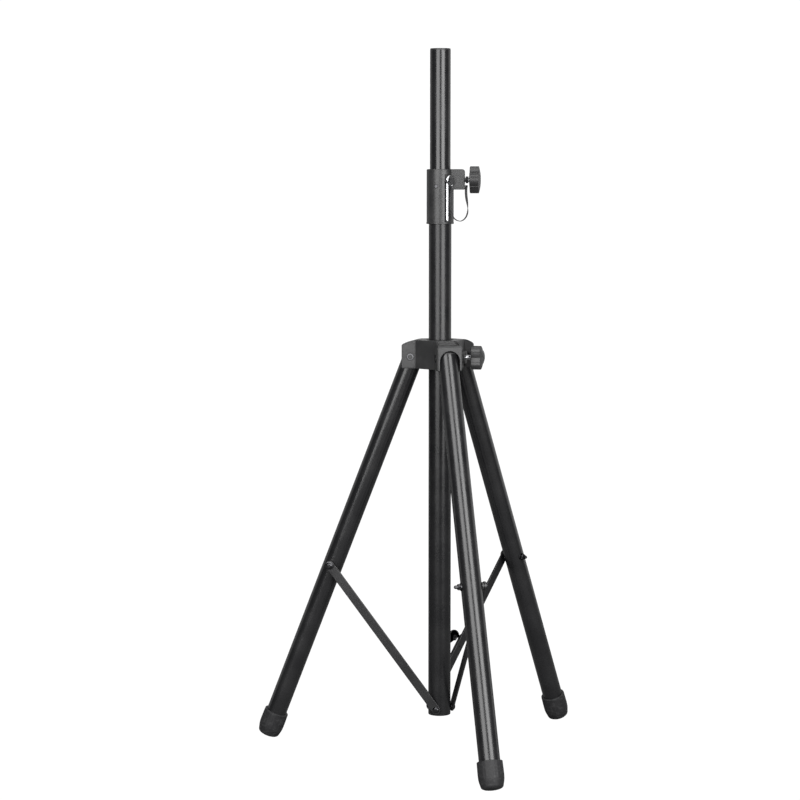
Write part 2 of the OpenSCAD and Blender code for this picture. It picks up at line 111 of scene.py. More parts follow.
# ---------------------------------------------------------------- camera and light
cam = bpy.data.objects.new("camera", bpy.data.cameras.new("camera"))
bpy.context.collection.objects.link(cam)
cam.data.sensor_width = 36
cam.data.lens = 106.07
cam.data.clip_end = 100
cam.data.dof.use_dof = False
cam.location = (AX / 1000 - 1.0988, AY / 1000 - 3.8582, 0.985)
cam.rotation_euler = (math.radians(84.57), 0, math.radians(-14.924))
bpy.context.scene.camera = cam
bpy.context.scene.view_settings.view_transform = "Standard"
bpy.context.scene.view_settings.look = "None"


def softbox(name, az, dist, z, w, h, power, aim_z=None):
    """An area light. az is counted from the side the object is seen from, to the right."""
    a = math.radians(az - 90 - VIEW_TURN)
    place = Vector((AX / 1000 + dist * math.cos(a), AY / 1000 + dist * math.sin(a), z))
    light = bpy.data.lights.new(name, "AREA")
    light.shape = "RECTANGLE"
    light.size, light.size_y = w, h
    light.energy = power
    light.spread = math.pi
    o = bpy.data.objects.new(name, light)
    bpy.context.collection.objects.link(o)
    o.location = place
    o.visible_camera = False
    aim = Vector((AX / 1000, AY / 1000, z if aim_z is None else aim_z))
    o.rotation_euler = (aim - place).to_track_quat("-Z", "Y").to_euler()
    return o


softbox("box_left", -26, 3.0, 1.85, 2.0, 3.2, 122)
softbox("box_right", 30.5, 3.0, 1.85, 1.85, 3.2, 152)
softbox("box_top", 0, 0.1, 3.6, 2.4, 2.4, 55, aim_z=0.0)
softbox("box_back_left", -128, 3.2, 1.5, 2.7, 3.0, 12)
softbox("box_behind", 180, 3.4, 1.5, 2.6, 3.0, 20)
softbox("box_back_right", 126, 3.2, 1.5, 2.9, 3.0, 22)

world = bpy.data.worlds.new("studio")
bpy.context.scene.world = world
world.use_nodes = True
wn, wl = world.node_tree.nodes, world.node_tree.links
wn.clear()
w_out = wn.new("ShaderNodeOutputWorld")
w_mix = wn.new("ShaderNodeMixShader")
w_seen, w_light = wn.new("ShaderNodeBackground"), wn.new("ShaderNodeBackground")
w_seen.inputs["Color"].default_value = (1, 1, 1, 1)
w_seen.inputs["Strength"].default_value = 1.05
w_light.inputs["Color"].default_value = (1, 1, 1, 1)
w_light.inputs["Strength"].default_value = 0.03
w_path = wn.new("ShaderNodeLightPath")
wl.new(w_path.outputs["Is Camera Ray"], w_mix.inputs["Fac"])
wl.new(w_light.outputs["Background"], w_mix.inputs[1])
wl.new(w_seen.outputs["Background"], w_mix.inputs[2])
wl.new(w_mix.outputs["Shader"], w_out.inputs["Surface"])


# ---------------------------------------------------------------- materials
def node_mat(name):
    m = bpy.data.materials.new(name)
    m.use_nodes = True
    n, l = m.node_tree.nodes, m.node_tree.links
    n.clear()
    out = n.new("ShaderNodeOutputMaterial")
    p = n.new("ShaderNodeBsdfPrincipled")
    l.new(p.outputs["BSDF"], out.inputs["Surface"])
    coord = n.new("ShaderNodeTexCoord")
    return m, n, l, p, coord


def noise(n, l, coord, scale, detail=2.0, rough=0.5, stretch=None):
    t = n.new("ShaderNodeTexNoise")
    t.inputs["Scale"].default_value = scale
    t.inputs["Detail"].default_value = detail
    t.inputs["Roughness"].default_value = rough
    if stretch:
        mp = n.new("ShaderNodeMapping")
        mp.inputs["Scale"].default_value = stretch
        l.new(coord.outputs["Object"], mp.inputs["Vector"])
        l.new(mp.outputs["Vector"], t.inputs["Vector"])
    else:
        l.new(coord.outputs["Object"], t.inputs["Vector"])
    return t


def ramp(n, l, src, a, b, va, vb):
    r = n.new("ShaderNodeMapRange")
    r.inputs["From Min"].default_value = a
    r.inputs["From Max"].default_value = b
    r.inputs["To Min"].default_value = va
    r.inputs["To Max"].default_value = vb
    l.new(src, r.inputs["Value"])
    return r


def mix_colour(n, l, fac, a, b):
    c = n.new("ShaderNodeMix")
    c.data_type = "RGBA"
    l.new(fac, c.inputs["Factor"])
    c.inputs["A"].default_value = (*a, 1)
    c.inputs["B"].default_value = (*b, 1)
    return c.outputs["Result"]


def bump(n, l, p, height, strength, distance, chain=None):
    b = n.new("ShaderNodeBump")
    b.inputs["Strength"].default_value = strength
    b.inputs["Distance"].default_value = distance
    l.new(height, b.inputs["Height"])
    if chain is not None:
        l.new(chain, b.inputs["Normal"])
    l.new(b.outputs["Normal"], p.inputs["Normal"])
    return b.outputs["Normal"]


def powder_coat(name, base, rough, dust=0.012, gloss=0.5):
    """Semi-gloss powder coat: orange peel, faint cloudiness, a little dust."""
    m, n, l, p, c = node_mat(name)
    peel = noise(n, l, c, 900, 1.5, 0.5)
    fine = noise(n, l, c, 4200, 2.0, 0.6)
    cloud = noise(n, l, c, 26, 3.0, 0.55)
    specks = noise(n, l, c, 2600, 1.0, 0.5)
    tint = ramp(n, l, cloud.outputs["Fac"], 0.35, 0.68, 0.0, 1.0)
    l.new(mix_colour(n, l, tint.outputs["Result"], base, tuple(x + dust * 0.35 for x in base)), p.inputs["Base Color"])
    wear = ramp(n, l, cloud.outputs["Fac"], 0.3, 0.7, rough - 0.035, rough + 0.05)
    grit = ramp(n, l, specks.outputs["Fac"], 0.42, 0.62, -0.02, 0.03)
    add = n.new("ShaderNodeMath")
    add.operation = "ADD"
    l.new(wear.outputs["Result"], add.inputs[0])
    l.new(grit.outputs["Result"], add.inputs[1])
    l.new(add.outputs["Value"], p.inputs["Roughness"])
    first = bump(n, l, p, peel.outputs["Fac"], 0.10, 0.0004)
    bump(n, l, p, fine.outputs["Fac"], 0.05, 0.0001, first)
    p.inputs["Specular IOR Level"].default_value = gloss
    return m


def moulded(name, base, rough, grain=1500, depth=0.22, lift=0.012):
    """Injection-moulded nylon with an etched grain."""
    m, n, l, p, c = node_mat(name)
    vor = n.new("ShaderNodeTexVoronoi")
    vor.inputs["Scale"].default_value = grain
    l.new(c.outputs["Object"], vor.inputs["Vector"])
    fine = noise(n, l, c, grain * 2.2, 3.0, 0.6)
    cloud = noise(n, l, c, 40, 3.0, 0.6)
    t = ramp(n, l, cloud.outputs["Fac"], 0.3, 0.72, 0.0, 1.0)
    l.new(mix_colour(n, l, t.outputs["Result"], base, tuple(x + lift for x in base)), p.inputs["Base Color"])
    r = ramp(n, l, fine.outputs["Fac"], 0.3, 0.7, rough - 0.06, rough + 0.07)
    l.new(r.outputs["Result"], p.inputs["Roughness"])
    first = bump(n, l, p, vor.outputs["Distance"], depth, 0.00025)
    bump(n, l, p, fine.outputs["Fac"], 0.18, 0.00012, first)
    p.inputs["Specular IOR Level"].default_value = 0.45
    return m


def rubber(name):
    m, n, l, p, c = node_mat(name)
    fine = noise(n, l, c, 2400, 4.0, 0.65)
    scuff = noise(n, l, c, 90, 4.0, 0.6, (1, 1, 3))
    t = ramp(n, l, scuff.outputs["Fac"], 0.5, 0.72, 0.0, 1.0)
    l.new(mix_colour(n, l, t.outputs["Result"], (0.010, 0.010, 0.011), (0.030, 0.030, 0.031)), p.inputs["Base Color"])
    r = ramp(n, l, scuff.outputs["Fac"], 0.35, 0.7, 0.52, 0.74)
    l.new(r.outputs["Result"], p.inputs["Roughness"])
    bump(n, l, p, fine.outputs["Fac"], 0.3, 0.00025)
    p.inputs["Specular IOR Level"].default_value = 0.4
    return m


def metal(name, colour, rough, scratch=0.05, stretch=None):
    m, n, l, p, c = node_mat(name)
    lines = noise(n, l, c, 1800, 3.0, 0.6, stretch)
    stain = noise(n, l, c, 320, 3.0, 0.6)
    t = ramp(n, l, stain.outputs["Fac"], 0.4, 0.7, 0.0, 1.0)
    l.new(mix_colour(n, l, t.outputs["Result"], colour, tuple(x * 0.86 for x in colour)), p.inputs["Base Color"])
    r = ramp(n, l, lines.outputs["Fac"], 0.3, 0.7, rough - scratch, rough + scratch)
    l.new(r.outputs["Result"], p.inputs["Roughness"])
    p.inputs["Metallic"].default_value = 1.0
    bump(n, l, p, lines.outputs["Fac"], 0.06, 0.00008)
    return m


def webbing(name):
    """Woven strap: fine diagonal threads and a soft sheen."""
    m, n, l, p, c = node_mat(name)
    wave = n.new("ShaderNodeTexWave")
    wave.wave_type = "BANDS"
    wave.bands_direction = "Z"
    wave.inputs["Scale"].default_value = 420
    wave.inputs["Distortion"].default_value = 0.6
    cross = n.new("ShaderNodeTexWave")
    cross.wave_type = "BANDS"
    cross.bands_direction = "DIAGONAL"
    cross.inputs["Scale"].default_value = 520
    l.new(c.outputs["Object"], wave.inputs["Vector"])
    l.new(c.outputs["Object"], cross.inputs["Vector"])
    both = n.new("ShaderNodeMath")
    both.operation = "MULTIPLY"
    l.new(wave.outputs["Fac"], both.inputs[0])
    l.new(cross.outputs["Fac"], both.inputs[1])
    l.new(mix_colour(n, l, both.outputs["Value"], (0.006, 0.006, 0.007), (0.022, 0.022, 0.023)), p.inputs["Base Color"])
    r = ramp(n, l, both.outputs["Value"], 0.0, 1.0, 0.85, 0.62)
    l.new(r.outputs["Result"], p.inputs["Roughness"])
    bump(n, l, p, both.outputs["Value"], 0.5, 0.00025)
    p.inputs["Sheen Weight"].default_value = 0.25
    p.inputs["Sheen Roughness"].default_value = 0.5
    return m


COAT = powder_coat("powder_coat", (0.0085, 0.0085, 0.0092), 0.235)
COAT_TUBE = powder_coat("powder_coat_tube", (0.0085, 0.0085, 0.0092), 0.25, gloss=0.33)
COAT_BAR = powder_coat("powder_coat_bar", (0.009, 0.009, 0.0098), 0.33)
HUB_M = moulded("moulded_hub", (0.016, 0.016, 0.0165), 0.44)
COLLAR_M = moulded("moulded_collar", (0.015, 0.015, 0.0155), 0.36, grain=1300)
KNOB_M = moulded("moulded_knob", (0.013, 0.013, 0.0135), 0.40, grain=1700, depth=0.18)
PLUG_M = moulded("moulded_plug", (0.012, 0.012, 0.0125), 0.38, grain=1900, depth=0.12)
NYLON_M = moulded("nylon", (0.014, 0.014, 0.0145), 0.34, grain=2200, depth=0.08)
RUBBER_M = rubber("foot_rubber")
CHROME_M = metal("pin_chrome", (0.86, 0.87, 0.89), 0.10, 0.03, (1, 1, 0.15))
ZINC_M = metal("zinc_plate", (0.74, 0.75, 0.77), 0.24, 0.06)
BLACK_M = metal("black_oxide", (0.062, 0.062, 0.065), 0.24, 0.06)
BRASS_M = metal("brass_insert", (0.72, 0.55, 0.26), 0.28, 0.06)
STRAP_M = webbing("woven_strap")


# ---------------------------------------------------------------- mesh tools
def rounded(points, seg=4):
    """A profile with its corners rounded: points are (a, b) or (a, b, radius)."""
    out, n = [], len(points)
    for i, p in enumerate(points):
        r = p[2] if len(p) > 2 else 0.0
        if r <= 0 or i in (0, n - 1):
            out.append((p[0], p[1]))
            continue
        out += corner(points[i - 1], p, points[i + 1], r, seg)
    return out


def corner(a, p, b, r, seg):
    """The arc of radius r that rounds the corner p between a and b."""
    p2, da, db = Vector(p[:2]), Vector(a[:2]) - Vector(p[:2]), Vector(b[:2]) - Vector(p[:2])
    la, lb = da.length, db.length
    if la < 1e-9 or lb < 1e-9:
        return [(p[0], p[1])]
    da, db = da / la, db / lb
    half = math.acos(max(-1.0, min(1.0, da.dot(db)))) / 2
    if half > math.pi / 2 - 0.02:
        return [(p[0], p[1])]
    t = min(r / math.tan(half), la * 0.49, lb * 0.49)
    rr = t * math.tan(half)
    mid = p2 + (da + db).normalized() * (rr / math.sin(half))
    s, e = p2 + da * t - mid, p2 + db * t - mid
    turn = math.atan2(s.x * e.y - s.y * e.x, s.dot(e))
    return [
        tuple(mid + Vector((s.x * math.cos(turn * k / seg) - s.y * math.sin(turn * k / seg),
                            s.x * math.sin(turn * k / seg) + s.y * math.cos(turn * k / seg))))
        for k in range(seg + 1)
    ]


def rounded_loop(points, seg=4):
    """As rounded(), for a closed outline."""
    n, out = len(points), []
    for i, p in enumerate(points):
        r = p[2] if len(p) > 2 else 0.0
        out += corner(points[i - 1], p, points[(i + 1) % n], r, seg) if r > 0 else [(p[0], p[1])]
    return out


def quads(rows, n):
    """The faces that join rows of n points into a closed skin."""
    return [(k * n + i, k * n + (i + 1) % n, (k + 1) * n + (i + 1) % n, (k + 1) * n + i)
            for k in range(rows - 1) for i in range(n)]


def ends(rows, n):
    """The two faces that close such a skin: the first row's, then the last row's."""
    return [tuple(range(n - 1, -1, -1)), tuple(range((rows - 1) * n, rows * n))]


class Shape:
    """Collects vertices and faces; every part is given in a local frame."""

    def __init__(self):
        self.v, self.f = [], []

    def add(self, verts, faces, m=None):
        k = len(self.v)
        self.v += [tuple(m @ Vector(p)) if m is not None else tuple(p) for p in verts]
        self.f += [tuple(i + k for i in f) for f in faces]
        return self

    def lathe(self, profile, m=None, seg=96, close=False):
        """Turns (r, z) points about +Z. An open profile runs from low to high outside."""
        verts, faces, rows = [], [], []
        for r, z in profile:
            if r < 1e-6:
                rows.append([len(verts)])
                verts.append((0, 0, z))
            else:
                rows.append(list(range(len(verts), len(verts) + seg)))
                verts += [(x, y, z) for x, y in circle(r, seg)]
        pairs = list(zip(rows, rows[1:])) + ([(rows[-1], rows[0])] if close else [])
        for a, b in pairs:
            for i in range(seg):
                j = (i + 1) % seg
                if len(a) == 1 and len(b) == 1:
                    continue
                if len(a) == 1:
                    faces.append((a[0], b[j], b[i]))
                elif len(b) == 1:
                    faces.append((a[i], a[j], b[0]))
                else:
                    faces.append((a[i], a[j], b[j], b[i]))
        return self.add(verts, faces, m)

    def prism(self, outline, z0, z1, m=None, edge=0.5, seg=3):
        """An outline (counter-clockwise) between two heights, with rounded rims."""
        n = len(outline)
        pts = [Vector(p) for p in outline]
        normals = []
        for i in range(n):
            a, b, c = pts[i - 1], pts[i], pts[(i + 1) % n]
            e0, e1 = (b - a), (c - b)
            n0 = Vector((e0.y, -e0.x)).normalized() if e0.length > 1e-9 else Vector((0, 0))
            n1 = Vector((e1.y, -e1.x)).normalized() if e1.length > 1e-9 else Vector((0, 0))
            k = n0 + n1
            k = k / max(k.length_squared / 2, 0.3) if k.length > 1e-9 else n0
            normals.append(k)
        rings = []
        for k in range(seg + 1):
            a = math.pi / 2 * k / seg
            rings.append((edge * (1 - math.sin(a)), z0 + edge * (1 - math.cos(a))))
        for k in range(seg + 1):
            a = math.pi / 2 * (1 - k / seg)
            rings.append((edge * (1 - math.sin(a)), z1 - edge * (1 - math.cos(a))))
        verts = []
        for inset, z in rings:
            verts += [(p.x - q.x * inset, p.y - q.y * inset, z) for p, q in zip(pts, normals)]
        return self.add(verts, quads(len(rings), n) + ends(len(rings), n), m)

    def sweep(self, path, section, m, up):
        """A section (x, y) carried along a path; up gives the section's y side."""
        path, up = [Vector(p) for p in path], Vector(up)
        n, verts = len(path), []
        for i, p in enumerate(path):
            d = (path[min(n - 1, i + 1)] - path[max(0, i - 1)]).normalized()
            x = d.cross(up).normalized()
            y = x.cross(d)
            verts += [tuple(p + x * s[0] + y * s[1]) for s in section]
        return self.add(verts, quads(n, len(section)) + ends(n, len(section)), m)

    def mesh(self, name):
        me = bpy.data.meshes.new(name)
        me.from_pydata(self.v, [], self.f)
        bm = bmesh.new()
        bm.from_mesh(me)
        bmesh.ops.recalc_face_normals(bm, faces=bm.faces)
        bm.to_mesh(me)
        bm.free()
        return me


def cut(base, *tools, op="DIFFERENCE"):
    """The base mesh with other meshes cut from it or joined to it."""
    host = bpy.data.objects.new("tmp_host", base)
    bpy.context.collection.objects.link(host)
    made = [host]
    for t in tools:
        o = bpy.data.objects.new("tmp_tool", t)
        bpy.context.collection.objects.link(o)
        made.append(o)
        mod = host.modifiers.new("b", "BOOLEAN")
        mod.operation, mod.object, mod.solver = op, o, "EXACT"
    me = bpy.data.meshes.new_from_object(host.evaluated_get(bpy.context.evaluated_depsgraph_get()))
    for o in made:
        bpy.data.objects.remove(o)
    return me


def soften(me, width, seg=3, angle=32):
    """The mesh with its sharp edges rounded."""
    host = bpy.data.objects.new("tmp_soft", me)
    bpy.context.collection.objects.link(host)
    mod = host.modifiers.new("e", "BEVEL")
    mod.width, mod.segments, mod.limit_method, mod.angle_limit = width * 0.001, seg, "ANGLE", math.radians(angle)
    mod.use_clamp_overlap = True
    mod.miter_outer = "MITER_ARC"
    out = bpy.data.meshes.new_from_object(host.evaluated_get(bpy.context.evaluated_depsgraph_get()))
    bpy.data.objects.remove(host)
    return out


def piece(name, me, mat, body, replaces=(), angle=38):
    """A finished piece of the model, riding on a body."""
    if isinstance(me, Shape):
        me = me.mesh(name)
    me.name = name
    o = bpy.data.objects.new(name, me)
    bpy.context.collection.objects.link(o)
    me.materials.clear()
    me.materials.append(mat)
    for p in me.polygons:
        p.use_smooth = True
        p.material_index = 0
    me.set_sharp_from_angle(angle=math.radians(angle))
    mod = o.modifiers.new("normals", "WEIGHTED_NORMAL")
    mod.keep_sharp = True
    mod.weight = 60
    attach(o, body)
    if replaces:
        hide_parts(*replaces)
    return o


def circle(r, n=48):
    return [(r * math.cos(2 * math.pi * i / n), r * math.sin(2 * math.pi * i / n)) for i in range(n)]


def soft_hexagon(r):
    """A hexagon with softened corners."""
    return rounded_loop([(x, y, 0.4) for x, y in circle(r, 6)], 3)


def stadium(w, l, n=16):
    """A bar outline of width w, from (0, 0) to (0, l), with round ends."""
    r = w / 2
    low = [(r * math.cos(math.pi + math.pi * i / n), r * math.sin(math.pi + math.pi * i / n)) for i in range(n + 1)]
    top = [(r * math.cos(math.pi * i / n), l + r * math.sin(math.pi * i / n)) for i in range(n + 1)]
    return low + top


def pipe_profile(ro, ri, z0, z1, edge=0.5):
    """A closed wall section with rounded rims."""
    return rounded_loop([(ri, z0, edge * 0.6), (ro, z0, edge), (ro, z1, edge), (ri, z1, edge * 0.6)], 3)


# ---------------------------------------------------------------- mast
s = Shape().lathe(pipe_profile(TUBE_R, TUBE_R - WALL, TUBE_LOW, TUBE_TOP), on_mast(), 128, close=True)
piece("outer_tube_shell", s, COAT_TUBE, "column", ["outer_tube"])

section = [(0, CAP_LOW + 0.4), (TUBE_R - 5, CAP_LOW), (TUBE_R - 0.4, CAP_LOW, 1.5), (TUBE_R, TUBE_LOW - 0.1, 0.3),
           (TUBE_R - 0.4, TUBE_LOW), (TUBE_R - 1.8, TUBE_LOW), (TUBE_R - 1.8, TUBE_LOW + 26), (0, TUBE_LOW + 26)]
s = Shape().lathe(rounded(section, 5), on_mast(), 96)
piece("column_foot_plug", s, PLUG_M, "column", ["column_end_cap"])

# The pole: its two pairs of cross holes are cut through both walls.
pole = pipe_profile(POLE_R, POLE_R - WALL, POLE_LOW, POLE_TOP - 3, 0.4)
pole = Shape().lathe(pole, on_mast(), 128, close=True).mesh("pole")
holes = [Shape().lathe([(0, -30), (4, -30), (4, 30), (0, 30)], facing(BOSS_AZ - 2, z) @ TO_X, 40).mesh("h")
         for z in (POLE_TOP - 61, POLE_TOP - 155)]
piece("sliding_pole", soften(cut(pole, *holes), 0.35, 2, 50), COAT, "mast", ["inner_pole"])

section = [(0, POLE_TOP), (POLE_R - 2.2, POLE_TOP), (POLE_R - 0.3, POLE_TOP - 0.1, 1.2), (POLE_R - 0.2, POLE_TOP - 3),
           (POLE_R - 1.7, POLE_TOP - 3), (POLE_R - 1.7, POLE_TOP - 19), (POLE_R - 4, POLE_TOP - 19),
           (POLE_R - 4, POLE_TOP - 3.6), (0, POLE_TOP - 3.6)]
s = Shape().lathe(rounded(section[::-1], 5), on_mast(), 96)
piece("pole_top_cap", s, PLUG_M, "mast", ["pole_top_plug"])

# ---------------------------------------------------------------- collar
BOSS_H = 34.5
SCREW_AT = facing(236, COLLAR_LOW + 63.6) @ TO_X  # the small screw that holds the collar on the tube
section = [(0, COLLAR_LOW), (22.9, COLLAR_LOW), (23.4, COLLAR_LOW + 0.3, 0.4), (23.4, COLLAR_LOW + 2.7, 0.5),
           (23, COLLAR_LOW + 3.2, 0.3), (23, COLLAR_TOP - 1.3, 0.9), (21.8, COLLAR_TOP), (0, COLLAR_TOP)]
collar = Shape().lathe(rounded(section, 4), on_mast(), 144).mesh("collar")
outline = rounded_loop([(14, 0), (41.7, 0, 1.0), (41.7, BOSS_H, 5.0), (14, BOSS_H)], 8)
at = facing(BOSS_AZ, COLLAR_TOP - BOSS_H) @ TO_Y
boss = Shape().prism([(x, -z) for x, z in outline][::-1], -12, 12, at, 1.2, 4).mesh("boss")
collar = cut(collar, boss, op="UNION")
outline = rounded_loop([(20.6, -4.8, 1.6), (30, -4.8), (30, 4.8), (20.6, 4.8, 1.6)], 4)
groove = Shape().prism(outline, 0, 80, facing(PIN_AZ, COLLAR_LOW + 3.2), 0.6, 3).mesh("groove")
section = [(0, COLLAR_LOW - 5), (TUBE_R, COLLAR_LOW - 5), (TUBE_R, TUBE_TOP), (0, TUBE_TOP)]
bore_low = Shape().lathe(section, on_mast(), 128).mesh("bore")
section = [(0, TUBE_TOP - 0.1), (POLE_R + 0.8, TUBE_TOP - 0.1), (POLE_R + 0.8, COLLAR_TOP + 5), (0, COLLAR_TOP + 5)]
bore_top = Shape().lathe(section, on_mast(), 128).mesh("bore2")
section = [(0, 28), (4.3, 28), (4.3, 41.0), (5.0, 41.8), (5.0, 50), (0, 50)]
screw_way = Shape().lathe(section, facing(BOSS_AZ, CLAMP_Z) @ TO_X, 48).mesh("way")
pocket = Shape().lathe([(0, 21.6), (3.5, 21.6), (3.5, 26), (0, 26)], SCREW_AT, 40).mesh("pocket")
collar = cut(collar, groove, bore_low, bore_top, screw_way, pocket)
piece("collar_moulding", soften(collar, 0.45, 3, 35), COLLAR_M, "column", ["top_collar"])

s = Shape().lathe(pipe_profile(19.6, POLE_R + 0.1, TUBE_TOP, TUBE_TOP + 7.8, 0.3), on_mast(), 96, close=True)
piece("collar_guide", s, NYLON_M, "column", ["collar_bush"])
s = Shape().lathe(pipe_profile(6.5, 4.0, 29.4, 37.4, 0.3), facing(BOSS_AZ, CLAMP_Z) @ TO_X, 48, close=True)
piece("collar_insert", s, BRASS_M, "column", ["collar_nut"])
section = [(0, 22.0), (1.2, 22.0), (1.4, 22.7, 0.1), (2.8, 22.7, 0.4), (3.2, 21.7), (1.6, 21.6), (1.6, 18), (0, 18)]
s = Shape().lathe(rounded(section, 3), SCREW_AT, 40)
piece("collar_fixing_screw", s, BLACK_M, "column", ["collar_screw"])


# ---------------------------------------------------------------- knobs
def knob(name, body, node, screw_node, az, z, x0, r, t, turn, tip):
    """A three-lobed hand knob along +X from x0 with a slightly domed end, and its screw."""
    n = 180

    def lobe(a):
        """The outline's radius at an angle: three round lobes joined by hollow flanks."""
        a = (a - math.radians(turn) + math.pi / 3) % (2 * math.pi / 3) - math.pi / 3
        big, small = 0.58, 0.42
        reach = big * math.cos(a) + math.sqrt(max(0.0, small ** 2 - (big * math.sin(a)) ** 2))
        flank = 0.655 + 0.30 * max(0.0, math.cos(1.5 * a)) ** 1.5
        on_lobe = abs(big * math.sin(a)) < small and abs(a) < 0.62
        k = 1 / (1 + math.exp((abs(a) - 0.60) * 18))
        return r * (k * (reach if on_lobe else flank) + (1 - k) * min(flank, 0.80))

    # (height, how far in from the outline)
    steps = [(0.0, 2.2), (0.25, 0.8), (0.8, 0.15), (1.5, 0.0), (t - 4.2, 0.0), (t - 3.55, 0.2), (t - 3.2, 0.8),
             (t - 2.95, 2.0), (t - 1.9, 0.26 * r), (t - 0.8, 0.5 * r), (t - 0.2, 0.75 * r), (t, 0.97 * r)]
    verts = []
    for x, inset in steps:
        for i in range(n):
            a = 2 * math.pi * i / n
            k = max(0.02 * r, lobe(a) - inset)
            if inset > 3:  # further in, the outline turns into a circle
                k = min(k, r - inset)
            verts.append((k * math.cos(a), k * math.sin(a), x))
    s = Shape().add(verts, quads(len(steps), n) + ends(len(steps), n), facing(az, z) @ shift(x0, 0, 0) @ TO_X)
    piece(name + "_grip", s, KNOB_M, body, [node])
    # the screw, with its thread as a row of crests
    prof, x = [(0, tip), (3.1, tip), (3.75, tip + 0.7)], tip + 0.9
    while x < x0 + 0.2:
        prof += [(3.95, x), (3.95, x + 0.22), (3.45, x + 0.62), (3.45, x + 0.85)]
        x += 1.25
    prof += [(3.9, x0 + 0.5), (3.9, x0 + 8), (0, x0 + 8)]
    s = Shape().lathe(prof, facing(az, z) @ TO_X, 48)
    piece(name + "_rod", s, ZINC_M, body, [screw_node], angle=60)


knob("top_knob", "top_knob", "pole_knob", "pole_knob_screw", BOSS_AZ, CLAMP_Z, 49.9, 24.8, 19, -90, POLE_R + 5.5)
knob("lower_knob", "hub_knob", "hub_knob", "hub_knob_screw", KNOB_AZ, HUB_Z, 57.0, 21.9, 20, 90, TUBE_R + 6.1)
PADS = (("pole_pressure_pad", "pole_pad", "top_pad", BOSS_AZ, CLAMP_Z, POLE_R + 0.4),
        ("hub_pressure_pad", "hub_pad", "hub_pad", KNOB_AZ, HUB_Z, TUBE_R + 1.1))
for name, node, body, az, z, x in PADS:
    s = Shape().lathe(rounded([(0, x), (4.8, x, 0.6), (4.8, x + 5, 0.4), (0, x + 5)], 3), facing(az, z) @ TO_X, 48)
    piece(name, s, NYLON_M, body, [node])

# ---------------------------------------------------------------- hub
HUB_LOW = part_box("hub_body")[0][2] * 1000
HUB_H, HUB_BORE, SLOT_H = 48.9, 23, 34.5
arm_w, arm_end, web = 41.5, 62.5, 36.8  # an arm's width and end, and the flat between two arms, from the mast's axis
x0 = 2 * web - arm_w / 2 / math.tan(math.radians(30))
arm = ((x0, -arm_w / 2, 1.5), (arm_end, -arm_w / 2, 1.2), (arm_end, arm_w / 2, 1.2), (x0, arm_w / 2, 1.5))
plan = []
for a in (math.radians(az) for az in (30, 150, 270)):
    plan += [(x * math.cos(a) - y * math.sin(a), x * math.sin(a) + y * math.cos(a), r) for x, y, r in arm]
body = Shape().prism(rounded_loop(plan, 4), HUB_LOW, HUB_LOW + HUB_H, on_mast(), 0.8, 3).mesh("hub")
# the arms' sloping tops: (out from the mast, up from the hub's underside)
arm_top = [(36, 49.14), (42, 48.3), (46, 47.3), (49, 46.4), (52, 45.3), (54.6, 44.3), (57, 43.2), (58.6, 42.4),
           (60, 41.6), (61, 40.8), (61.8, 39.9), (62.3, 39.2), (62.7, 38.4), (66, 36), (66, 60), (36, 60)]
SIDE = Matrix(((1, 0, 0, 0), (0, 0, -1, 0), (0, 1, 0, 0), (0, 0, 0, 1)))  # section (x, y, z) -> (out, up, across)
OUT = Matrix(((0, 0, 1, 0), (1, 0, 0, 0), (0, 1, 0, 0), (0, 0, 0, 1)))  # section (x, y, z) -> (out, across, up)
slopes = [Shape().prism(arm_top, -30, 30, facing(az, HUB_LOW) @ SIDE, 0.001, 1).mesh("slope") for az in AZ.values()]
body = cut(body, *slopes)
section = [(0, HUB_LOW - 5), (HUB_BORE, HUB_LOW - 5), (HUB_BORE, HUB_LOW + 60), (0, HUB_LOW + 60)]
tools = [Shape().lathe(section, on_mast(), 128).mesh("bore")]


def arch(w, r, h, n=14):
    """An opening w wide and h high whose upper corners are rounded by r."""
    c, turns = w / 2 - r, [math.pi / 2 * i / n for i in range(n + 1)]
    return ([(-w / 2, -6), (w / 2, -6)]
            + [(c + r * math.cos(a), h - r + r * math.sin(a)) for a in turns]
            + [(-c + r * math.cos(math.pi / 2 + a), h - r + r * math.sin(math.pi / 2 + a)) for a in turns])


# Each arm has a slot for its leg, rounder at the mouth, and three steps in its
# top, with a shallow pocket in the riser at the back of each step.
stair = [(41, 26.6), (47, 26.6, 0.5), (47, 23.6, 0.5), (53, 23.6, 0.5), (53, 20.6, 0.5), (59.4, 20.6, 0.5),
         (59.4, 50), (41, 50)]
for az in AZ.values():
    m, side = facing(az, HUB_LOW - 1) @ OUT, facing(az, HUB_Z) @ SIDE
    tools.append(Shape().prism(arch(35.6, 8, SLOT_H), 27.9, 59.0, m, 0.01, 1).mesh("slot"))
    tools.append(Shape().prism(arch(35.2, 17.6, SLOT_H), 58.8, 80.0, m, 0.01, 1).mesh("mouth"))
    tools.append(Shape().prism(rounded_loop(stair, 2), -17, 17, side, 0.001, 1).mesh("stair"))
    for out, up in ((41, 26.6), (47, 23.6), (53, 20.6)):
        pocket = [(out - 4, up + 0.6), (out + 0.4, up + 0.6), (out + 0.4, up + 2.5), (out - 4, up + 2.5)]
        tools.append(Shape().prism(pocket, -15.6, 15.6, side, 0.001, 1).mesh("pocket"))
section = [(0, 15), (5.2, 15), (5.2, 29), (6.5, 29), (6.5, 35.9), (4.4, 35.9), (4.4, 60), (0, 60)]
tools.append(Shape().lathe(section, facing(KNOB_AZ, HUB_Z) @ TO_X, 48).mesh("way"))
body = cut(body, *tools)
piece("hub_moulding", soften(body, 0.5, 3, 30), HUB_M, "hub", ["hub_body"])

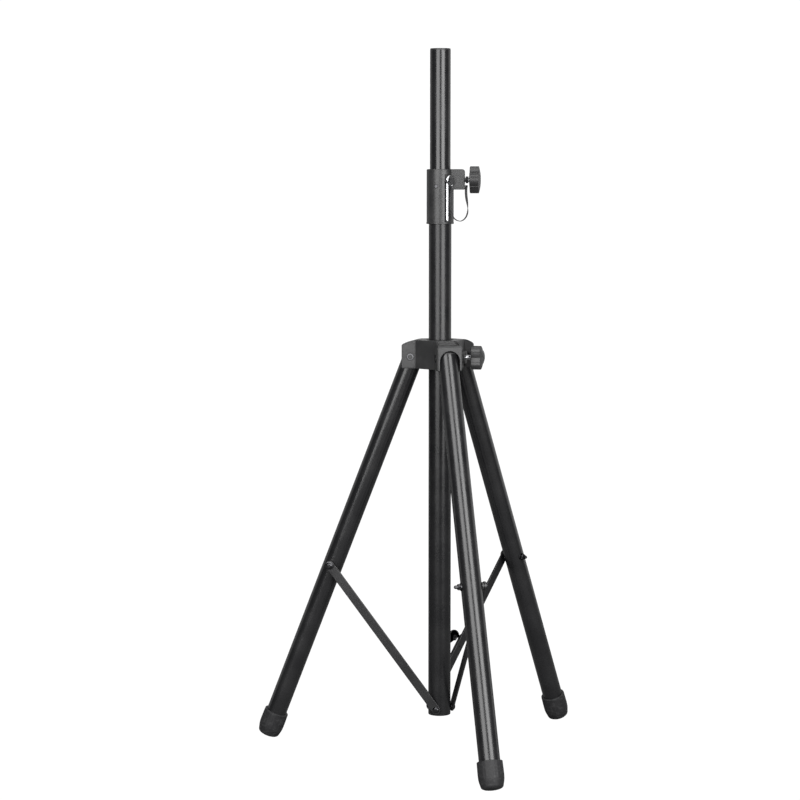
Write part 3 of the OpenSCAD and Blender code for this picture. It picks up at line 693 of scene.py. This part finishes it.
# raised bolt plates on both sides of each arm, each with a round recess
n, top = 96, 0.8
plate = [(38.6, -18.0, 1.0), (61.7, -18.0, 1.0), (61.7, 19.6, 1.6), (59, 21.2, 1.2), (38.6, 24.4, 1.0)]
outline = rounded_loop(plate, 5)
rays = []  # the outline as seen from the recess: directions, evenly by angle, and distances
for i in range(n):
    a = 2 * math.pi * i / n
    d, best = Vector((math.cos(a), math.sin(a))), None
    for k in range(len(outline)):
        p, q = Vector(outline[k]), Vector(outline[(k + 1) % len(outline)])
        e, w = q - p, p - Vector((PIVOT_R, 0))
        den = d.x * e.y - d.y * e.x
        if abs(den) < 1e-9:
            continue
        t = (w.x * e.y - w.y * e.x) / den
        u = (w.x * d.y - w.y * d.x) / den
        if t > 0 and -1e-6 <= u <= 1 + 1e-6:
            best = t if best is None else min(best, t)
    rays.append((d, best))
# (height, how far in from the outline), then (height, radius from the bolt)
rim = [(-1.0, 0.0), (top - 0.5, 0.0), (top - 0.15, 0.15), (top, 0.5)]
recess = [(top, 7.6), (top - 0.15, 7.15), (top - 0.6, 7.0), (-1.0, 7.0), (-1.0, 0.4)]
verts = [(PIVOT_R + d.x * (t - x), d.y * (t - x), z) for z, x in rim for d, t in rays]
verts += [(PIVOT_R + d.x * r, d.y * r, z) for z, r in recess for d, t in rays]
rows = len(rim) + len(recess)
for key, az in AZ.items():
    s = Shape()
    for side in (-1, 1):
        m = Matrix(((1, 0, 0, 0), (0, 0, side, side * arm_w / 2), (0, 1, 0, 0), (0, 0, 0, 1)))
        s.add(verts, quads(rows, n) + ends(rows, n)[1:], facing(az, HUB_Z) @ m)
    piece("hub_bolt_plates_" + key, s, HUB_M, "hub")

# clamp boss on the web
section = [(9, 34), (11, 34), (11, 46, 1.0), (9.4, 46), (4.4, 45.9), (4.4, 40)]
s = Shape().lathe(rounded(section, 4), facing(KNOB_AZ, HUB_Z) @ TO_X, 64)
piece("hub_clamp_boss", s, HUB_M, "hub")
s = Shape().lathe(pipe_profile(HUB_BORE, 21.3, HUB_LOW + 1, HUB_LOW + 48.2, 0.4), on_mast(), 96, close=True)
piece("hub_sleeve", s, NYLON_M, "hub", ["hub_bush"])
s = Shape().lathe(pipe_profile(6.5, 4.0, 28.9, 35.9, 0.3), facing(KNOB_AZ, HUB_Z) @ TO_X, 48, close=True)
piece("hub_insert", s, BRASS_M, "hub", ["hub_nut"])


def socket_head(r, h, hexr, depth, edge=0.4):
    """A round head with a hexagonal socket, along +Z from z = 0."""
    n = 48

    def socket(rad):
        out = []
        for i in range(n):
            a = 2 * math.pi * i / n
            b = (a + math.pi / 6) % (math.pi / 3) - math.pi / 6
            k = rad * math.cos(math.pi / 6) / math.cos(b)
            out.append((k * math.cos(a), k * math.sin(a)))
        return out

    outer = [(r - 0.3, 0.0), (r, 0.3), (r, h - edge), (r - edge * 0.35, h - edge * 0.3), (r - edge, h)]
    rows = [(circle(x, n), z) for x, z in outer]
    rows += [(socket(hexr + 0.35), h), (socket(hexr), h - 0.3), (socket(hexr * 0.97), h - depth)]
    return [(x, y, z) for row, z in rows for x, y in row], quads(len(rows), n) + ends(len(rows), n)


s, t = Shape(), Shape()
for az in AZ.values():
    m = facing(az, HUB_Z) @ shift(PIVOT_R, 0, 0)
    s.lathe([(0, -19.8), (3.95, -19.8), (3.95, 19.9), (0, 19.9)], m @ TO_Y, 40)
    s.add(*socket_head(6.1, 1.6, 3.9, 1.2), m @ TO_Y @ shift(0, 0, 19.9))
    t.add(*socket_head(6.1, 1.6, 3.9, 1.2), m @ TO_MY @ shift(0, 0, 19.9))
piece("leg_bolts", s, BLACK_M, "hub", ["leg_pivot_bolts"])
piece("leg_bolt_nuts", t, BLACK_M, "hub", ["leg_pivot_nuts"])

# ---------------------------------------------------------------- legs
# the rubber foot's section, from its tread to its lip; FLUTE is how deep its flutes are
FOOT = rounded([(0, -3.3), (7, -3.0, 3), (12, -2.1, 3), (16, -0.5, 2), (17.8, 1.0, 0.8), (18.6, 2.8, 1.5),
                (20.4, 10.0, 3), (21.2, 14.5, 3), (21.5, 20, 3), (21.5, 27, 3), (21.1, 42.7, 0.7), (20.3, 43.5, 0.5),
                (17.55, 43.5), (17.55, 3.5), (0, 3.5)], 6)
FLUTE, FLUTE_LOW, FLUTE_TOP = 0.35, 14, 42.2
for key, az in AZ.items():
    m, ride = in_leg(az), "leg_" + key
    s = Shape().lathe(pipe_profile(LEG_R, LEG_R - WALL, 4 - LEG_LEN, 3, 0.5), m, 128, close=True)
    piece("leg_pipe_" + key, s, COAT, ride, ["leg_tube_" + key])
    section = [(0, -22), (LEG_R - 1.7, -22, 1), (LEG_R - 1.7, 3.0), (LEG_R, 3.0, 0.1), (LEG_R, 4.8, 0.8),
               (LEG_R - 1, 6), (0, 6)]
    s = Shape().lathe(rounded(section, 4), m, 96)
    piece("leg_end_plug_" + key, s, PLUG_M, ride, ["leg_plug_" + key])

    # the rubber foot, whose rounded tread is cut flat by the floor
    n, verts = 120, []
    for r, z in FOOT:
        for i in range(n):
            a, k = 2 * math.pi * i / n, 0.0
            if r > 20 and FLUTE_LOW < z < FLUTE_TOP:
                soft = max(0.0, min(1.0, (z - FLUTE_LOW) / 5, (FLUTE_TOP - z) / 3))
                k = FLUTE * soft * (0.5 - 0.5 * math.cos(20 * a)) ** 3
            verts.append(((r - k) * math.cos(a), (r - k) * math.sin(a), z - LEG_LEN))
    me = Shape().add(verts, quads(len(FOOT), n), m).mesh("foot")
    bm = bmesh.new()
    bm.from_mesh(me)
    bmesh.ops.remove_doubles(bm, verts=bm.verts, dist=1e-6)
    found = bmesh.ops.bisect_plane(bm, geom=bm.verts[:] + bm.edges[:] + bm.faces[:],
                                   plane_co=(0, 0, 0), plane_no=(0, 0, 1), clear_inner=True)
    rim = [e for e in found["geom_cut"] if isinstance(e, bmesh.types.BMEdge)]
    bmesh.ops.holes_fill(bm, edges=rim)
    bmesh.ops.recalc_face_normals(bm, faces=bm.faces)
    bm.to_mesh(me)
    bm.free()
    piece("foot_cap_" + key, me, RUBBER_M, ride, ["foot_" + key], angle=50)

    # bolt, nut and spacer that join the brace
    gap = 0.15 if key == "front" else 1.7
    at = m @ shift(0, 0, -BRACE_AT)
    y1 = BAR_OUT + gap
    section = [(0, -29.6), (1.9, -29.5, 0.3), (2.95, -27.6), (2.95, y1), (7.0, y1, 0.25), (7.0, y1 + 0.9, 0.4),
               (5.6, y1 + 1.1), (5.2, y1 + 2.3, 1.2), (3.5, y1 + 3.3, 1.0), (0, y1 + 3.6)]
    s = Shape().lathe(rounded(section, 4), at @ TO_Y, 48)
    piece("brace_screw_" + key, s, BLACK_M, ride, ["brace_bolt_" + key])
    s = Shape().lathe(pipe_profile(6.3, 3.0, LEG_R, LEG_R + 1.4, 0.3), at @ TO_MY, 48, close=True)
    s.prism(soft_hexagon(5.6), LEG_R + 1.2, LEG_R + 5.2, at @ TO_MY, 0.6, 3)
    section = [(0, LEG_R + 5.0), (4.9, LEG_R + 5.0), (4.7, LEG_R + 6.3, 0.6), (3.0, LEG_R + 6.4), (0, LEG_R + 6.4)]
    s.lathe(rounded(section, 3), at @ TO_MY, 40)
    piece("brace_lock_nut_" + key, s, BLACK_M, ride, ["brace_nut_" + key])
    s = Shape().lathe(pipe_profile(6.6, 3.0, LEG_R - 0.3, BAR_IN - gap, 0.4), at @ TO_Y, 48, close=True)
    piece("brace_seat_" + key, s, PLUG_M, ride, ["brace_spacer_" + key])

    # the brace: a flat bar with rounded edges and a hole at each end
    bar = Shape().prism(stadium(15.4, BRACE_LEN, 20), BAR_IN, BAR_OUT, in_brace(az) @ FLAT, 0.7, 3).mesh("bar")
    hole_r = 3.05 if key == "front" else 6.2
    holes = [Shape().lathe([(0, 15), (r, 15), (r, 30), (0, 30)], in_brace(az) @ shift(0, 0, z) @ TO_Y, 40).mesh("h")
             for r, z in ((3.02, 0), (hole_r, BRACE_LEN))]
    bar = cut(bar, *holes)
    piece("brace_bar_" + key, bar, COAT_BAR, "brace_" + key, ["brace_" + key], angle=45)

# ---------------------------------------------------------------- foot of the mast
s, t = Shape(), Shape()
for az in AZ.values():
    m = facing(az + 90, ANCHOR_Z) @ TO_X
    y1 = BAR_OUT + 0.2
    section = [(0, 6.5), (2.4, 6.5), (2.4, 17), (2.9, 17.7), (2.9, y1), (5.6, y1, 0.2), (5.6, y1 + 1.2, 0.4),
               (4.9, y1 + 2.4, 0.8), (3.4, y1 + 3.3, 0.8), (0, y1 + 3.6)]
    s.lathe(rounded(section, 4), m, 48)
    t.lathe(pipe_profile(6.2, 3.0, TUBE_R, TUBE_R + 1.2, 0.25), m, 48, close=True)
piece("brace_foot_screws", s, BLACK_M, "column", ["brace_anchor_screws"])
piece("brace_foot_washers", t, BLACK_M, "column", ["brace_anchor_washers"])

# ---------------------------------------------------------------- ear on the right brace
EAR_R, EAR_X, EAR_Z = 13.5, -19, 125
m = in_brace(AZ["right"])
ear = [(-4, 140), (4, 140), (4, 90), (-6, 90)]
for a in (math.radians(d) for d in range(20, 261, 8)):
    ear.append((EAR_X + EAR_R * math.cos(a), EAR_Z + EAR_R * math.sin(a)))
outline = rounded_loop([(x, y, 1.0) for x, y in ear], 2)
s = Shape().prism(outline, 0, 3, m @ shift(0, BAR_OUT, 0) @ FLAT, 0.5, 3)
piece("brace_ear", s, COAT_BAR, "brace_right", ["brace_stay_plate"])
at = m @ shift(EAR_X, BAR_OUT, EAR_Z)
s = Shape().add(*socket_head(5.1, 2.5, 2.2, 1.4), at @ TO_MY @ shift(0, 0, 0.2))
s.lathe([(0, 0), (2.95, 0), (2.95, 6.6), (2.4, 7.2), (0, 7.2)], at @ TO_Y, 32)
s.prism(soft_hexagon(5.1), 3.05, 6.0, at @ TO_Y, 0.5, 3)
rivet = rounded([(0, 0), (1.5, 0), (1.5, 6.5), (3, 6.5, 0.2), (2.6, 7.3, 0.5), (0, 7.5)], 4)
s.lathe(rivet, m @ shift(-1, BAR_IN, 118) @ TO_Y, 32)
piece("brace_ear_bolt", s, BLACK_M, "brace_right", ["brace_stay_bolt"])

# ---------------------------------------------------------------- locking pin
PIN_AT, HOOK_W = 23.4, 3.6
HOOK_Z, PIN_LOW = COLLAR_TOP - 16.5, COLLAR_LOW + 4.2
pin_m = facing(PIN_AZ) @ shift(PIN_AT, 0, 0)
hook_m = pin_m @ Matrix.Rotation(math.radians(-15 - PIN_AZ), 4, "Z")
path = [(0, 0, PIN_LOW + 2 + (HOOK_Z - PIN_LOW - 2) * i / 10) for i in range(11)]
for a in (math.pi * i / 16 for i in range(1, 17)):
    path.append((HOOK_W - HOOK_W * math.cos(a), 0, HOOK_Z + HOOK_W * math.sin(a)))
path += [(2 * HOOK_W, 0, HOOK_Z - 11 * i / 6) for i in range(1, 7)]
s = Shape().sweep(path, circle(2.0, 24), hook_m, up=(0, 1, 0))
tip = [(0, 0), (0.9, 0), (1.4, 0.4), (2.0, 2.0), (2.0, 2.1), (0, 2.1)]
s.lathe([(r, PIN_LOW + z) for r, z in tip], hook_m, 24)
piece("hooked_pin", s, CHROME_M, "lock_pin", ["lock_pin"])

# ---------------------------------------------------------------- lanyard
# The strap's route, as in the CAD model: millimetres from the mast's axis,
# in the mast's frame turned by 15 degrees.
ROUTE = [
    (20, -21, 965), (18.4, -21.6, 957), (17.4, -21.8, 948), (17.2, -21.8, 939),
    (17.8, -21.6, 930), (19.6, -21, 921), (22.8, -20, 914.4), (28, -18, 910.4),
    (34.4, -15.4, 909), (40, -13.2, 911.8), (44, -11.6, 916.8), (46.2, -10.6, 923.4),
    (46.6, -10, 931), (45.6, -9.6, 940), (44.2, -9.4, 949), (43.6, -9.2, 957),
    (43.8, -8.4, 964), (44.6, -6.4, 969.2),
]


def spline(points, steps):
    """A smooth line through the points."""
    out, n = [], len(points) - 1
    for k in range(steps + 1):
        u = k * n / steps
        i = min(n - 1, int(u))
        t = u - i
        a, b, c, d = (Vector(points[max(0, min(n, i + j))]) for j in (-1, 0, 1, 2))
        out.append(0.5 * (2 * b + (c - a) * t + (2 * a - 5 * b + 4 * c - d) * t * t + (3 * b - a - 3 * c + d) * t ** 3))
    return out


strap_m = on_mast() @ Matrix.Rotation(math.radians(-15), 4, "Z")
STEPS = 150
line = spline(ROUTE, STEPS)
W, T = 4.4, 1.2
section = rounded_loop([(-W / 2, -T / 2, 0.45), (W / 2, -T / 2, 0.45), (W / 2, T / 2, 0.45), (-W / 2, T / 2, 0.45)], 3)
verts, side = [], Vector((-0.43, 0.9, 0))
for k, p in enumerate(line):
    d = (line[min(STEPS, k + 1)] - line[max(0, k - 1)]).normalized()
    nrm = d.cross(side).normalized()
    # the strap twists between about two thirds and nine tenths of its way
    ease = max(0.0, min(1.0, (k / STEPS - 0.62) / 0.26))
    a = math.radians(115) * ease * ease * (3 - 2 * ease)
    wide = d.cross(nrm) * math.cos(a) + nrm * math.sin(a)
    thin = d.cross(wide)
    verts += [tuple(p + wide * q[0] + thin * q[1]) for q in section]
faces = quads(STEPS + 1, len(section)) + ends(STEPS + 1, len(section))
strap = piece("lanyard_strap", Shape().add(verts, faces, strap_m), STRAP_M, "column", ["pin_lanyard"])

at = facing(BOSS_AZ, CLAMP_Z) @ shift(45.6, 0, 0) @ TO_X
s = Shape().lathe(pipe_profile(5.8, 4.7, -2.2, 2.2, 0.4), at, 64, close=True)
loop_knob = piece("lanyard_loop_screw", s, STRAP_M, "column", ["lanyard_eye_knob"])
# the loop on the hook: a sleeve, a part round the bend, and a band across the pin's front
s = Shape().lathe(pipe_profile(3.2, 2.05, 0, 8.4, 0.4), hook_m @ shift(2 * HOOK_W, 0, HOOK_Z - 10.4), 48, close=True)
bend = [math.radians(95 + 85 * i / 10) for i in range(11)]
bend = [(HOOK_W - HOOK_W * math.cos(a), 0, HOOK_Z + HOOK_W * math.sin(a)) for a in bend]
s.sweep(bend + [(2 * HOOK_W, 0, HOOK_Z - 2.6)], circle(2.6, 24), hook_m, up=(0, 1, 0))
band = [(-3.4, -2.1, 2.2), (-2.0, -2.8, 3.6), (0, -3.0, 5.6), (2.3, -3.05, 7.8), (4.6, -3.2, 9.6), (6.8, -3.9, 11.2)]
section = rounded_loop([(-1.9, -0.55, 0.4), (1.9, -0.55, 0.4), (1.9, 0.55, 0.4), (-1.9, 0.55, 0.4)], 3)
s.sweep(spline([(x, y, HOOK_Z - z) for x, y, z in band], 40), section, hook_m, up=(0, 1, 0))
loop_pin = piece("lanyard_loop_hook", s, STRAP_M, "lock_pin", ["lanyard_eye_pin"])

# the guide inside the outer tube stays as it is in CAD, with its own material
guide = frame["nodes"]["pole_guide"].data
guide.materials.clear()
guide.materials.append(NYLON_M)

# ---------------------------------------------------------------- floor
fm, n, l, p, c = node_mat("studio_floor")
p.inputs["Base Color"].default_value = (0.2, 0.2, 0.2, 1)
p.inputs["Roughness"].default_value = 0.9
p.inputs["Specular IOR Level"].default_value = 0.1
glow, path, both = n.new("ShaderNodeEmission"), n.new("ShaderNodeLightPath"), n.new("ShaderNodeMixShader")
glow.inputs["Color"].default_value = (1, 1, 1, 1)
glow.inputs["Strength"].default_value = 1.05
l.new(path.outputs["Is Camera Ray"], both.inputs["Fac"])
l.new(p.outputs["BSDF"], both.inputs[1])
l.new(glow.outputs["Emission"], both.inputs[2])
l.new(both.outputs["Shader"], [x for x in n if x.type == "OUTPUT_MATERIAL"][0].inputs["Surface"])
sheet = [(-2500, -2500, 200), (2500, -2500, 200), (2500, 2500, 200), (-2500, 2500, 200)]
me = Shape().prism(rounded_loop(sheet, 8), -10, 0, MM, 2, 2).mesh("floor")
me.materials.append(fm)
floor = bpy.data.objects.new("floor", me)
bpy.context.collection.objects.link(floor)
